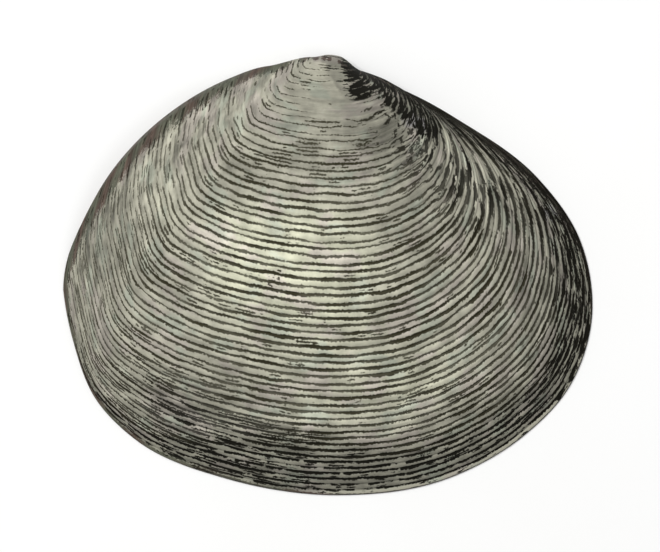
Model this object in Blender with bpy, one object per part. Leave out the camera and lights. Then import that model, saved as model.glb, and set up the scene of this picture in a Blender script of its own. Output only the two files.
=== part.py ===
# One valve of a small marine clam, lying on its open side with the dome up.
# The outside grows as one family of growth lines. Each line is a scaled copy of the shell's
# edge, turned about the hinge line: the smaller (younger) the line, the further it has turned.
# Sizes are in millimetres from the beak's place on the hinge line: "across" is positive
# towards the front end, "below" is positive from the hinge towards the lower edge.
import math

import bmesh
import bpy
import numpy as np
from mathutils import Vector
from mathutils.bvhtree import BVHTree

MM = 0.001

# The shell's free edge, from the rear tip round the lower edge to the hinge.
FREE_EDGE = [
    (-18.8, 15.3),  # rear tip
    (-18.15, 18.65),
    (-16.6, 22.65),  # corner where the rear fold meets the edge
    (-13.9, 25.45),
    (-7.4, 28.2),
    (0.0, 29.25),  # lowest point
    (7.0, 28.25),
    (12.2, 25.5),
    (15.6, 22.0),
    (17.2, 17.2),  # front tip
    (16.4, 11.9),
    (13.5, 7.7),
    (8.0, 3.7),
    (4.0, 1.52),  # hollow in front of the beak
    (0.0, 0.0),
]
# The upper edge behind the beak, from the rear tip to the beak.
REAR_UPPER_EDGE = [
    (-18.8, 15.3),
    (-18.5, 13.2),
    (-17.9, 11.5),
    (-16.95, 9.5),
    (-15.8, 7.55),
    (-11.7, 3.28),
    (-7.6, 0.88),
    (-4.9, 0.0),
    (-3.0, 0.0),
    (0.0, 0.0),
]

# How the growth lines coil towards the beak: radians per natural log of size, and per size.
COIL_LOG = 0.55
COIL_LINEAR = 0.22
BEAK_SIZE = 0.03  # the smallest growth line, as a share of the grown shell

# How young lines differ from the grown edge.
REAR_REACH = 0.25  # share by which the rear of a young line is longer
REAR_REACH_OVER = 0.38
FRONT_WAIST = 0.055  # share by which the front of a half-grown line is shorter
FRONT_WAIST_SIZE = 0.57
FRONT_WAIST_OVER = 0.14
FRONT_TAPER = 0.36  # share by which the front of the smallest lines is shorter
FRONT_TAPER_SIZES = (0.08, 0.26)
FOLD_BULGE = 0.5  # how far the rear fold's corner stands out on a young line
FOLD_BULGE_OVER = 0.15
FOLD_REACH = 3.2
UPRIGHT_TILT = 0.035  # share by which a line's rear end leans in as it rises

# The hinge line rises in a low arch behind the beak.
ARCH_RISE = 0.62
ARCH_CENTRE = -1.9
ARCH_HALF = 3.0
ARCH_FADE = 2.0

# The steep strip between the growth lines' rear ends and the upper edge.
STRIP_INSET = 0.4
STRIP_LEAN = 0.02

# Concentric ridges: spacing along the outside, and height.
RIDGE_PITCH = 0.525
EDGE_RIDGE_PITCH = 0.475
EDGE_BAND = 5.3  # width of the finely ridged band along the lower edge
RIDGE_HEIGHT = 0.13
RIDGE_CREST = 0.45  # where the crest lies between two grooves
FIRST_RIDGE_SIZE = 0.165
FULL_RIDGE_SIZE = 0.42  # ridges grow to their full height by this line
SMOOTH_BEAK_ROWS = 6

# The inside.
RIM = 0.5  # width of the flat edge that the shell lies on
WALL = 0.85  # thickness away from the edge
EDGE_WALL = 0.45
WALL_GROWS_OVER = 5.0
INNER_CENTRE = (-0.6, 13.5)

# The hinge plate under the beak.
PLATE_WIDTH = 2.3
PLATE_END_WIDTH = 0.5
PLATE_REAR = -10.5
PLATE_FRONT = 8.5
PLATE_LIFT = 0.45
PLATE_SLOPE = 0.2
PLATE_STEP = 0.6
ROOF_OVER_PLATE = 0.3

# Teeth and the ligament pit on the plate: start, end, half width, drop (a pit is negative).
HINGE_RELIEF = [
    ((1.0, 1.1), (1.8, 2.3), 0.3, 0.65),  # front middle tooth
    ((-0.1, 0.8), (-0.1, 2.3), 0.3, 0.65),  # rear middle tooth
    ((-1.3, 0.7), (-4.2, 2.3), 0.5, -0.6),  # slanting ligament pit
    ((3.9, 2.5), (7.0, 4.1), 0.36, 0.55),  # front side tooth
    ((-5.2, 1.3), (-8.6, 2.9), 0.36, 0.55),  # rear side tooth
]
TOOTH_CLEARANCE = 0.04  # no tooth reaches the plane that the shell lies on

# Steps of the mesh.
STEPS_PER_SPAN = 2
UPRIGHT_STEPS = 2
INNER_LOOP_POINTS = 74
HINGE_CLOSENESS = 6.0  # how much closer together the inner loop's points lie by the beak
HINGE_CLOSENESS_REACH = 4.0
INNER_RINGS = (0.02, 0.04, 0.06, 0.08, 0.1, 0.12, 0.14, 0.165, 0.195, 0.24, 0.32, 0.44, 0.6, 0.8)

SHELL_COLOUR = (0.56, 0.55, 0.48, 1.0)
SHELL_ROUGHNESS = 0.62


def clear_scene():
    for obj in list(bpy.data.objects):
        bpy.data.objects.remove(obj)


def smooth_line(points, steps):
    """Points on a smooth curve through the given ones, with the same number of steps in each span."""
    p = np.array(points, float)
    span = np.linalg.norm(np.diff(p, axis=0), axis=1)
    slope = np.diff(p, axis=0) / span[:, None]
    tangent = np.empty_like(p)
    before, after = span[:-1, None], span[1:, None]
    tangent[1:-1] = (slope[:-1] * after + slope[1:] * before) / (before + after)
    tangent[0] = 2 * slope[0] - tangent[1]
    tangent[-1] = 2 * slope[-1] - tangent[-2]
    t = (np.arange(steps) / steps)[:, None]
    line = []
    for i, length in enumerate(span):
        line.append(
            (2 * t**3 - 3 * t**2 + 1) * p[i]
            + (t**3 - 2 * t**2 + t) * length * tangent[i]
            + (3 * t**2 - 2 * t**3) * p[i + 1]
            + (t**3 - t**2) * length * tangent[i + 1]
        )
    return np.concatenate([*line, p[-1:]])


def smooth_step(low, high, value):
    t = np.clip((value - low) / (high - low), 0.0, 1.0)
    return t * t * (3 - 2 * t)


UPPER_LINE = smooth_line(REAR_UPPER_EDGE, 24)


def coil_angle(size):
    return COIL_LOG * math.log(1 / size) + COIL_LINEAR * (1 - size)


def hinge_arch(across):
    u = np.clip((across - ARCH_CENTRE) / ARCH_HALF, -1.0, 1.0)
    return -ARCH_RISE * (1 - u * u) ** 2


def upper_edge(across):
    """How far the upper edge lies below the hinge line, behind the beak."""
    return np.interp(across, UPPER_LINE[:, 0], UPPER_LINE[:, 1])


def young_edge(size):
    """The free edge as a line of this size had it, before scaling."""
    edge = smooth_line(FREE_EDGE, STEPS_PER_SPAN)
    rear = 1 + REAR_REACH * math.tanh((1 - size) / REAR_REACH_OVER)
    front = 1 - FRONT_WAIST * math.exp(-(((size - FRONT_WAIST_SIZE) / FRONT_WAIST_OVER) ** 2))
    front -= FRONT_TAPER * (1 - float(smooth_step(*FRONT_TAPER_SIZES, size)))
    corner = np.array(FREE_EDGE[2])
    nearness = np.exp(-(np.linalg.norm(edge - corner, axis=1) / FOLD_REACH) ** 2)
    bulge = FOLD_BULGE * math.tanh((1 - size) / FOLD_BULGE_OVER) * nearness
    edge = edge + bulge[:, None] * np.array([-0.8, 0.6])
    edge[:, 0] *= np.where(edge[:, 0] < 0, rear, front)
    return edge


def growth_line(size):
    """One growth line as (across, below, up) points, from the upper edge behind the beak to the beak."""
    angle = coil_angle(size)
    flat = size * young_edge(size)
    tip = flat[0]
    top_across = tip[0] * (1 - UPRIGHT_TILT)
    inset = STRIP_INSET * math.sin(math.pi * size)
    top_below = (upper_edge(top_across) + inset) / max(math.cos(angle), 0.3)
    top = np.array([top_across, min(top_below, tip[1])])
    bend = np.array([tip[0], (top[1] + tip[1]) / 2])
    t = (np.arange(UPRIGHT_STEPS) / UPRIGHT_STEPS)[:, None]
    upright = (1 - t) ** 2 * top + 2 * t * (1 - t) * bend + t * t * tip
    flat = np.concatenate([upright, flat])
    arch = hinge_arch(flat[:, 0]) * np.exp(-((flat[:, 1] / ARCH_FADE) ** 2))
    line = np.stack(
        [flat[:, 0], flat[:, 1] * math.cos(angle) + arch, flat[:, 1] * math.sin(angle)], axis=1
    )
    foot_across = top_across * (1 - STRIP_LEAN)
    foot = np.array([foot_across, upper_edge(foot_across) + hinge_arch(foot_across), 0.0])
    middle = foot + (line[0] - foot) * np.array([0.35, 0.35, 0.6])
    return np.concatenate([[foot, middle], line])


def lowest_point(size):
    """Place of a growth line's lowest point, below the hinge and up."""
    reach = size * FREE_EDGE[5][1]
    return np.array([reach * math.cos(coil_angle(size)), reach * math.sin(coil_angle(size))])


def ridge_sizes():
    """Growth line sizes of the grooves, from the first one to the free edge."""
    sizes = np.linspace(FIRST_RIDGE_SIZE, 1.0, 2000)
    places = np.array([lowest_point(size) for size in sizes])
    along = np.concatenate([[0], np.cumsum(np.linalg.norm(np.diff(places, axis=0), axis=1))])
    in_band = int(EDGE_BAND / EDGE_RIDGE_PITCH)
    above = int((along[-1] - EDGE_BAND) / RIDGE_PITCH)
    band_start = along[-1] - in_band * EDGE_RIDGE_PITCH
    stops = [band_start - RIDGE_PITCH * k for k in range(above, 0, -1)]
    stops += [band_start + EDGE_RIDGE_PITCH * k for k in range(in_band + 1)]
    return np.interp(stops, along, sizes)


def row_sizes():
    """(size, height of the ridge there) for each row of the outside, from the beak to the free edge."""
    grooves = ridge_sizes()
    ratio = (grooves[0] / BEAK_SIZE) ** (1 / SMOOTH_BEAK_ROWS)
    rows = [(BEAK_SIZE * ratio**k, 0.0) for k in range(SMOOTH_BEAK_ROWS)]
    for groove, following in zip(grooves[:-1], grooves[1:]):
        crest = groove + (following - groove) * RIDGE_CREST
        height = RIDGE_HEIGHT * float(smooth_step(0.5 * FIRST_RIDGE_SIZE, FULL_RIDGE_SIZE, crest))
        rows.append((groove, 0.0))
        rows.append((crest, height))
    rows.append((1.0, 0.0))
    return rows


def outside_grid():
    """The smooth outside and the ridged one, as arrays of rows of points."""
    rows = row_sizes()
    smooth = np.array([growth_line(size) for size, _ in rows])
    along_row = np.gradient(smooth, axis=1)
    along_growth = np.gradient(smooth, axis=0)
    normal = np.cross(along_row, along_growth)
    normal /= np.maximum(np.linalg.norm(normal, axis=2, keepdims=True), 1e-9)
    columns = np.linspace(0, 1, smooth.shape[1])
    fade = smooth_step(0.02, 0.12, columns) * (1 - smooth_step(0.84, 0.97, columns))
    height = np.array([ridge for _, ridge in rows])
    ridged = smooth + normal * (height[:, None] * fade[None, :])[:, :, None]
    return smooth, ridged


def roof_over(smooth):
    """A function that gives the height of the smooth outside over a place, and how level it is."""
    rows, columns = smooth.shape[:2]
    points = [Vector(p) for p in smooth.reshape(-1, 3)]
    faces = []
    for i in range(rows - 1):
        for j in range(columns - 1):
            a = i * columns + j
            faces.append((a, a + 1, a + columns + 1, a + columns))
    tree = BVHTree.FromPolygons(points, faces)

    def roof(across, below):
        hit, normal, _, _ = tree.ray_cast(Vector((across, below, -1.0)), Vector((0, 0, 1)))
        if hit is None:
            return 0.0, 1.0
        return hit.z, max(abs(normal.z), 0.35)

    return roof


def distance_to_stroke(place, start, end):
    place, start, end = (np.array(p, float) for p in (place, start, end))
    run = end - start
    t = np.clip((place - start) @ run / (run @ run), 0.0, 1.0)
    return float(np.linalg.norm(place - start - t * run))


def front_upper_edge(across):
    front = smooth_line(FREE_EDGE[9:], 12)[::-1]
    return float(np.interp(across, front[:, 0], front[:, 1]))


def below_upper_edge(across, below):
    """How far a place lies below the upper edge, in front of or behind the beak."""
    if across < 0:
        return below - float(upper_edge(across) + hinge_arch(across))
    return below - front_upper_edge(across)


def plate_width(across):
    reach = PLATE_REAR if across < 0 else PLATE_FRONT
    share = min(abs(across / reach), 1.0)
    return PLATE_END_WIDTH + (PLATE_WIDTH - PLATE_END_WIDTH) * math.cos(share * math.pi / 2)


def inside_height(across, below, from_rim, roof):
    """Height of the inside surface over a place, with the hinge plate and its teeth."""
    top, level = roof(across, below)
    wall = EDGE_WALL + (WALL - EDGE_WALL) * float(smooth_step(0, WALL_GROWS_OVER, from_rim))
    dome = max(top - wall / level, 0.0)
    depth = below_upper_edge(across, below)
    plate = min(PLATE_LIFT + PLATE_SLOPE * max(depth, 0.0), max(top - ROOF_OVER_PLATE, 0.0))
    for start, end, half_width, drop in HINGE_RELIEF:
        stroke = distance_to_stroke((across, below), start, end)
        plate -= drop * math.exp(-((stroke / half_width) ** 2) * 1.4)
    plate = min(max(plate, TOOTH_CLEARANCE), max(top - ROOF_OVER_PLATE, TOOTH_CLEARANCE))
    past_plate = float(smooth_step(0.0, PLATE_STEP, depth - plate_width(across)))
    within = PLATE_REAR - 1 < across < PLATE_FRONT + 1
    height = plate + (dome - plate) * past_plate if within and dome > plate else dome
    return max(height, TOOTH_CLEARANCE) * float(smooth_step(0.0, 0.35, from_rim))


def inner_loop(base):
    """The inner side of the flat edge, with its points closer together by the beak."""
    closed = np.concatenate([base, base[:1]])
    along = np.concatenate([[0], np.cumsum(np.linalg.norm(np.diff(closed, axis=0), axis=1))])
    fine = np.linspace(0, along[-1], 1200, endpoint=False)
    line = np.stack([np.interp(fine, along, closed[:, k]) for k in range(2)], axis=1)
    from_beak = np.linalg.norm(line, axis=1)
    weight = 1 + HINGE_CLOSENESS * np.exp(-((from_beak / HINGE_CLOSENESS_REACH) ** 2))
    reached = np.concatenate([[0], np.cumsum(weight)])[:-1] / weight.sum()
    picks = np.interp(np.arange(INNER_LOOP_POINTS) / INNER_LOOP_POINTS, reached, np.arange(1200))
    picks = picks.astype(int)
    reach = 12
    tangent = np.roll(line, -reach, axis=0) - np.roll(line, reach, axis=0)
    tangent /= np.linalg.norm(tangent, axis=1, keepdims=True)
    inward = np.stack([tangent[:, 1], -tangent[:, 0]], axis=1)
    towards = np.array(INNER_CENTRE) - line
    inward *= np.sign((inward * towards).sum(axis=1))[:, None]
    return (line + RIM * inward)[picks]


def build_valve():
    smooth, ridged = outside_grid()
    rows, columns = ridged.shape[:2]
    bm = bmesh.new()

    def vert(point):
        return bm.verts.new((point[0], point[1], point[2]))

    hinge_point = vert((0.0, float(hinge_arch(0.0)), 0.0))
    grid = [[vert(point) for point in row[:-1]] + [hinge_point] for row in ridged]
    for i in range(rows - 1):
        for j in range(columns - 1):
            corners = [grid[i][j], grid[i][j + 1], grid[i + 1][j + 1], grid[i + 1][j]]
            bm.faces.new([v for k, v in enumerate(corners) if v is not corners[k - 1]])
    # The beak's tip closes the smallest growth line.
    tip = vert(ridged[0].mean(axis=0))
    for a, b in zip([*grid[0]], [*grid[0][1:], grid[0][0]]):
        bm.faces.new([tip, b, a])

    # The flat edge that the shell lies on.
    base = [*grid[-1], *[row[0] for row in grid[:-1]]]
    base_line = np.array([v.co[:2] for v in base])
    loop = inner_loop(base_line)
    rim = [vert((x, y, 0.0)) for x, y in loop]
    bm.edges.ensure_lookup_table()
    edges = [bm.edges.get(pair) or bm.edges.new(pair) for pair in zip(base, [*base[1:], base[0]])]
    edges += [bm.edges.new(pair) for pair in zip(rim, [*rim[1:], rim[0]])]
    bmesh.ops.triangle_fill(bm, use_beauty=True, edges=edges)

    # The inside, as rings that close in on its middle.
    roof = roof_over(smooth)
    centre = np.array(INNER_CENTRE)
    ring = rim
    for share in INNER_RINGS:
        places = loop + (centre - loop) * share
        from_rim = np.linalg.norm(centre - loop, axis=1) * share
        heights = [inside_height(x, y, gap, roof) for (x, y), gap in zip(places, from_rim)]
        following = [vert((x, y, z)) for (x, y), z in zip(places, heights)]
        for k in range(len(ring)):
            bm.faces.new([ring[k - 1], ring[k], following[k], following[k - 1]])
        ring = following
    middle = vert((*centre, inside_height(*centre, 10.0, roof)))
    for k in range(len(ring)):
        bm.faces.new([ring[k - 1], ring[k], middle])
    return bm


def place_in_frame(bm):
    """Turns "below" into -Y, centres the shell over the origin and scales it to metres."""
    for v in bm.verts:
        v.co.y = -v.co.y
    low = [min(v.co[k] for v in bm.verts) for k in range(2)]
    high = [max(v.co[k] for v in bm.verts) for k in range(2)]
    shift = Vector((-(low[0] + high[0]) / 2, -(low[1] + high[1]) / 2, 0.0))
    for v in bm.verts:
        v.co = (v.co + shift) * MM
    bmesh.ops.triangulate(bm, faces=bm.faces[:])
    bmesh.ops.recalc_face_normals(bm, faces=bm.faces[:])
    if bm.calc_volume(signed=True) < 0:
        bmesh.ops.reverse_faces(bm, faces=bm.faces[:])


def shell_material():
    material = bpy.data.materials.new("shell")
    material.use_nodes = True
    surface = material.node_tree.nodes["Principled BSDF"]
    surface.inputs["Base Color"].default_value = SHELL_COLOUR
    surface.inputs["Roughness"].default_value = SHELL_ROUGHNESS
    surface.inputs["Metallic"].default_value = 0.0
    return material


def main():
    clear_scene()
    bm = build_valve()
    place_in_frame(bm)
    mesh = bpy.data.meshes.new("right_valve")
    bm.to_mesh(mesh)
    bm.free()
    mesh.shade_smooth()
    mesh.materials.append(shell_material())
    valve = bpy.data.objects.new("right_valve", mesh)
    bpy.context.scene.collection.objects.link(valve)


main()
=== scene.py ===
# One clam valve seen from above, with its growth lines, stains and toothed inside.
import math

import bmesh
import bpy
import numpy as np
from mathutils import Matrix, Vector, noise
from mathutils.bvhtree import BVHTree


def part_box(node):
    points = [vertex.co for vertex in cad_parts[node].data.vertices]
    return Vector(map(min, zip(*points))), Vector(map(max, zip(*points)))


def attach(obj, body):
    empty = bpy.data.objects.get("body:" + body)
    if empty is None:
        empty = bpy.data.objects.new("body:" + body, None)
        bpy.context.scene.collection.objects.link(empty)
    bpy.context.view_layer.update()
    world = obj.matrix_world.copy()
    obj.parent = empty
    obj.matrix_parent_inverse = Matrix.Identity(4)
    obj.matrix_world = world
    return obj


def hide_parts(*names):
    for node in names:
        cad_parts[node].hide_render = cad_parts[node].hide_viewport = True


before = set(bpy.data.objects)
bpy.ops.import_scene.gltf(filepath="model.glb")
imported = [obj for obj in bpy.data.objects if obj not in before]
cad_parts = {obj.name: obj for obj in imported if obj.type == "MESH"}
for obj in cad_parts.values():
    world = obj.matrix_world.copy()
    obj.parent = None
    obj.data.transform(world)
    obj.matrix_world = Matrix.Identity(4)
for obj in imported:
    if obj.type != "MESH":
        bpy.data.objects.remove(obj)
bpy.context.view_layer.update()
print("frame loaded")

mm = 0.001

# Outline and growth. "across" runs to the front end, "below" from the hinge to the lower edge,
# both in mm from the beak. The numbers repeat the solid's own, so the skin lies on it.
outline = {
    "freeEdge": [
        (-18.8, 15.3), (-18.15, 18.65), (-16.6, 22.65), (-13.9, 25.45), (-7.4, 28.2),
        (0.0, 29.25), (7.0, 28.25), (12.2, 25.5), (15.6, 22.0), (17.2, 17.2),
        (16.4, 11.9), (13.5, 7.7), (8.0, 3.7), (4.0, 1.52), (0.0, 0.0),
    ],
    "rearUpperEdge": [
        (-18.8, 15.3), (-18.5, 13.2), (-17.9, 11.5), (-16.95, 9.5), (-15.8, 7.55),
        (-11.7, 3.28), (-7.6, 0.88), (-4.9, 0.0), (-3.0, 0.0), (0.0, 0.0),
    ],
    "lowest": 5,  # which free edge point is the lowest
    "foldCorner": 2,
    "frontEnd": 9,
}

growth = {
    "coilLog": 0.55,  # how the lines turn about the hinge towards the beak
    "coilLinear": 0.22,
    "beakSize": 0.03,
    "rearReach": 0.25,
    "rearReachOver": 0.38,
    "frontWaist": 0.055,
    "frontWaistSize": 0.57,
    "frontWaistOver": 0.14,
    "frontTaper": 0.36,  # the youngest lines are shorter in front
    "frontTaperSizes": (0.08, 0.26),
    "foldBulge": 0.5,
    "foldBulgeOver": 0.15,
    "foldBulgeTowards": (-0.8, 0.6),
    "foldReach": 3.2,
    "uprightTilt": 0.035,
    "archRise": 0.62,  # the hinge line's low arch behind the beak
    "archCentre": -1.9,
    "archHalf": 3.0,
    "archFade": 2.0,
    "steepestTurn": 0.3,  # least cosine of the turn that the upper edge follows
    "stripInset": 0.4,
    "stripLean": 0.02,
    "stripBend": 1.6,
}

ridges = {
    "pitch": 0.525,
    "edgePitch": 0.475,
    "edgeBand": 5.3,
    "firstSize": 0.165,
    "riseFrom": 0.5,  # share of the first size at which the ridges begin to rise
    "fullSize": 0.42,
    "height": 0.11,
    "jitter": 0.13,  # uneven spacing, as a share of the pitch
    "profile": [(0.0, 0.0), (0.12, 0.7), (0.34, 1.0), (0.7, 1.0), (0.9, 0.6)],
    "unevenness": 0.35,  # how much the height varies along a ridge
    "unevenScale": (0.22, 1.5),  # along the ridges and across them
    "unevenSeed": 3.1,
    "rearHeight": 0.45,  # height on the rear slope, as a share
    "hingeFade": (34, 6),  # columns before the hinge over which the ridges die out
    "footFade": 3,
    "rearFade": (-6, 10),  # columns from the free edge's start and from the fold's corner
    "beakRows": 16,
    "diceSeed": 7,
}

detail = {
    "stepsPerSpan": 17,
    "upperLineSteps": 24,
    "frontLineSteps": 12,
    "uprightSteps": 12,
    "stripSteps": 4,
    "sizeSteps": 2000,  # for finding where the grooves fall
    "roofStride": 3,  # the roof over the hollow takes every third row and column
    "loopSteps": 2400,
    "loopReach": 24,  # steps to each side that give the loop's direction
    "hingeCrowding": 2.5,  # the inner loop's points lie closer together by the hinge
    "hingeCrowdingReach": 4.0,
    "innerPoints": 260,
    "innerRings": 30,
    "ringSpread": 1.7,
    "least": 1e-9,  # keeps a division away from zero
}

inside = {
    "rim": 0.5,
    "wall": 0.85,
    "edgeWall": 0.45,
    "wallGrowsOver": 5.0,
    "steepestWall": 0.35,  # least upright share of the skin's normal used for the wall
    "rimFade": 0.35,
    "centre": (-0.6, 13.5),
    "centreFromRim": 10.0,
    "plateWidth": 2.3,
    "plateEndWidth": 0.5,
    "plateRear": -10.5,
    "plateFront": 8.5,
    "plateLift": 0.45,
    "plateSlope": 0.2,
    "plateStep": 0.6,
    "plateOverlap": 1.0,
    "roofOverPlate": 0.3,
    "hingeRelief": [  # start, end, half width, drop (a pit is negative)
        ((1.0, 1.1), (1.8, 2.3), 0.3, 0.65),
        ((-0.1, 0.8), (-0.1, 2.3), 0.3, 0.65),
        ((-1.3, 0.7), (-4.2, 2.3), 0.5, -0.6),
        ((3.9, 2.5), (7.0, 4.1), 0.36, 0.55),
        ((-5.2, 1.3), (-8.6, 2.9), 0.36, 0.55),
    ],
    "toothSharpness": 1.4,
    "toothClearance": 0.04,
    "frontScar": ((10.6, 12.6), (1.6, 3.1), 0.35),  # centre, half sizes, lean
    "rearScar": ((-12.2, 11.2), (1.9, 2.4), -0.35),
    "scarDepth": 0.06,
    "scarFade": (0.82, 1.08),
    "palliumInset": 3.6,  # how far the mantle line runs inside the edge
    "palliumBlur": 0.12,
    "sinusTip": (3.2, 13.6),
    "sinusMouth": (-12.4, 17.6),
    "sinusHalfWidth": 4.4,
    "sinusBlur": 0.15,
}


def smoothLine(points, steps):
    p = np.array(points, float)
    span = np.linalg.norm(np.diff(p, axis=0), axis=1)
    slope = np.diff(p, axis=0) / span[:, None]
    tangent = np.empty_like(p)
    before, after = span[:-1, None], span[1:, None]
    tangent[1:-1] = (slope[:-1] * after + slope[1:] * before) / (before + after)
    tangent[0] = 2 * slope[0] - tangent[1]
    tangent[-1] = 2 * slope[-1] - tangent[-2]
    t = (np.arange(steps) / steps)[:, None]
    line = []
    for i, length in enumerate(span):
        line.append(
            (2 * t**3 - 3 * t**2 + 1) * p[i]
            + (t**3 - 2 * t**2 + t) * length * tangent[i]
            + (3 * t**2 - 2 * t**3) * p[i + 1]
            + (t**3 - t**2) * length * tangent[i + 1]
        )
    return np.concatenate([*line, p[-1:]])


def smoothStep(low, high, value):
    t = np.clip((value - low) / (high - low), 0.0, 1.0)
    return t * t * (3 - 2 * t)


upperLine = smoothLine(outline["rearUpperEdge"], detail["upperLineSteps"])
frontLine = smoothLine(outline["freeEdge"][outline["frontEnd"] :], detail["frontLineSteps"])[::-1]
wholeEdge = smoothLine(outline["freeEdge"], detail["stepsPerSpan"])


def coilAngle(size):
    return growth["coilLog"] * math.log(1 / size) + growth["coilLinear"] * (1 - size)


def hingeArch(across):
    u = np.clip((across - growth["archCentre"]) / growth["archHalf"], -1.0, 1.0)
    return -growth["archRise"] * (1 - u * u) ** 2


def upperEdge(across):
    return np.interp(across, upperLine[:, 0], upperLine[:, 1])


def belowUpperEdge(across, below):
    rear = below - upperEdge(across) - hingeArch(across)
    front = below - np.interp(across, frontLine[:, 0], frontLine[:, 1])
    return np.where(across < 0, rear, front)


def youngEdge(size):
    g = growth
    edge = wholeEdge.copy()
    rear = 1 + g["rearReach"] * math.tanh((1 - size) / g["rearReachOver"])
    front = 1 - g["frontWaist"] * math.exp(-(((size - g["frontWaistSize"]) / g["frontWaistOver"]) ** 2))
    front -= g["frontTaper"] * (1 - float(smoothStep(*g["frontTaperSizes"], size)))
    corner = np.array(outline["freeEdge"][outline["foldCorner"]])
    nearness = np.exp(-((np.linalg.norm(edge - corner, axis=1) / g["foldReach"]) ** 2))
    bulge = g["foldBulge"] * math.tanh((1 - size) / g["foldBulgeOver"]) * nearness
    edge += bulge[:, None] * np.array(g["foldBulgeTowards"])
    edge[:, 0] *= np.where(edge[:, 0] < 0, rear, front)
    return edge


def growthLine(size):
    g = growth
    angle = coilAngle(size)
    flat = size * youngEdge(size)
    tip = flat[0]
    topAcross = tip[0] * (1 - g["uprightTilt"])
    inset = g["stripInset"] * math.sin(math.pi * size)
    topBelow = (upperEdge(topAcross) + inset) / max(math.cos(angle), g["steepestTurn"])
    top = np.array([topAcross, min(topBelow, tip[1])])
    bend = np.array([tip[0], (top[1] + tip[1]) / 2])
    t = (np.arange(detail["uprightSteps"]) / detail["uprightSteps"])[:, None]
    upright = (1 - t) ** 2 * top + 2 * t * (1 - t) * bend + t * t * tip
    flat = np.concatenate([upright, flat])
    arch = hingeArch(flat[:, 0]) * np.exp(-((flat[:, 1] / g["archFade"]) ** 2))
    turned = [flat[:, 0], flat[:, 1] * math.cos(angle) + arch, flat[:, 1] * math.sin(angle)]
    line = np.stack(turned, axis=1)
    footAcross = topAcross * (1 - g["stripLean"])
    foot = np.array([footAcross, upperEdge(footAcross) + hingeArch(footAcross), 0.0])
    rise = (np.arange(detail["stripSteps"]) / detail["stripSteps"])[:, None]
    bent = rise ** g["stripBend"]
    strip = foot + (line[0] - foot) * np.concatenate([bent, bent, rise], axis=1)
    return np.concatenate([strip, line])


def grooveSizes():
    r = ridges
    sizes = np.linspace(r["firstSize"], 1.0, detail["sizeSteps"])
    reach = sizes * outline["freeEdge"][outline["lowest"]][1]
    angles = np.array([coilAngle(size) for size in sizes])
    places = np.stack([reach * np.cos(angles), reach * np.sin(angles)], axis=1)
    along = np.concatenate([[0], np.cumsum(np.linalg.norm(np.diff(places, axis=0), axis=1))])
    inBand = int(r["edgeBand"] / r["edgePitch"])
    above = int((along[-1] - r["edgeBand"]) / r["pitch"])
    bandStart = along[-1] - inBand * r["edgePitch"]
    stops = [bandStart - r["pitch"] * k for k in range(above, 0, -1)]
    stops += [bandStart + r["edgePitch"] * k for k in range(inBand + 1)]
    stops = np.array(stops)
    dice = np.random.default_rng(r["diceSeed"])
    stops[1:-1] += dice.uniform(-1, 1, len(stops) - 2) * r["jitter"] * np.diff(stops)[1:]
    return np.interp(stops, along, sizes), stops


def growthRows():
    r = ridges
    grooves, stops = grooveSizes()
    ratio = (grooves[0] / growth["beakSize"]) ** (1 / r["beakRows"])
    rows = []
    for k in range(r["beakRows"]):
        size = growth["beakSize"] * ratio**k
        share = (size - grooves[0]) / (grooves[1] - grooves[0])
        rows.append((size, share, stops[0] + share * r["pitch"], 0.0))
    for k in range(len(grooves) - 1):
        for t, lift in r["profile"]:
            size = grooves[k] + (grooves[k + 1] - grooves[k]) * t
            grown = float(smoothStep(r["riseFrom"] * r["firstSize"], r["fullSize"], size))
            rows.append((size, k + t, stops[k] + (stops[k + 1] - stops[k]) * t, lift * grown))
    rows.append((1.0, float(len(grooves) - 1), stops[-1], 0.0))
    return np.array(rows)


rowTable = growthRows()
smoothSkin = np.array([growthLine(size) for size in rowTable[:, 0]])
rowCount, columnCount = smoothSkin.shape[:2]
upperStart = detail["stripSteps"]  # first column of the growth line itself
edgeStart = upperStart + detail["uprightSteps"]  # first column of the free edge
lowestColumn = edgeStart + outline["lowest"] * detail["stepsPerSpan"]
cornerColumn = edgeStart + outline["foldCorner"] * detail["stepsPerSpan"]
print("growth surface:", rowCount, "rows,", columnCount, "columns")


def skinNormals(skin):
    normal = np.cross(np.gradient(skin, axis=1), np.gradient(skin, axis=0))
    return normal / np.maximum(np.linalg.norm(normal, axis=2, keepdims=True), detail["least"])


# mm along each growth line, counted from its lowest point
def alongRows(skin):
    step = np.linalg.norm(np.diff(skin, axis=1), axis=2)
    along = np.concatenate([np.zeros((rowCount, 1)), np.cumsum(step, axis=1)], axis=1)
    return along - along[:, lowestColumn][:, None]


along = alongRows(smoothSkin)
growthMm = np.repeat(rowTable[:, 2][:, None], columnCount, axis=1)
ridgeCount = np.repeat(rowTable[:, 1][:, None], columnCount, axis=1)


def noiseGrid(a, b, seed):
    values = [noise.noise(Vector((x, y, seed))) for x, y in zip(a.ravel(), b.ravel())]
    return np.array(values).reshape(a.shape)


def ridgedSkin():
    r = ridges
    columns = np.arange(columnCount)
    fromStart, fromCorner = r["rearFade"]
    rearSlope = 1 - smoothStep(edgeStart + fromStart, cornerColumn + fromCorner, columns)
    atFoot = smoothStep(1, upperStart + r["footFade"], columns)
    fadeFrom, fadeTo = (columnCount - before for before in r["hingeFade"])
    atHinge = 1 - smoothStep(fadeFrom, fadeTo, columns)
    share = (1 - (1 - r["rearHeight"]) * rearSlope) * atFoot * atHinge
    scaleAlong, scaleAcross = r["unevenScale"]
    bumps = noiseGrid(along * scaleAlong, growthMm * scaleAcross, r["unevenSeed"])
    uneven = 1 + r["unevenness"] * bumps
    lift = rowTable[:, 3][:, None] * share[None, :] * uneven * r["height"]
    return smoothSkin + skinNormals(smoothSkin) * lift[:, :, None]


skin = ridgedSkin()
print("ridges raised")


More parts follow.
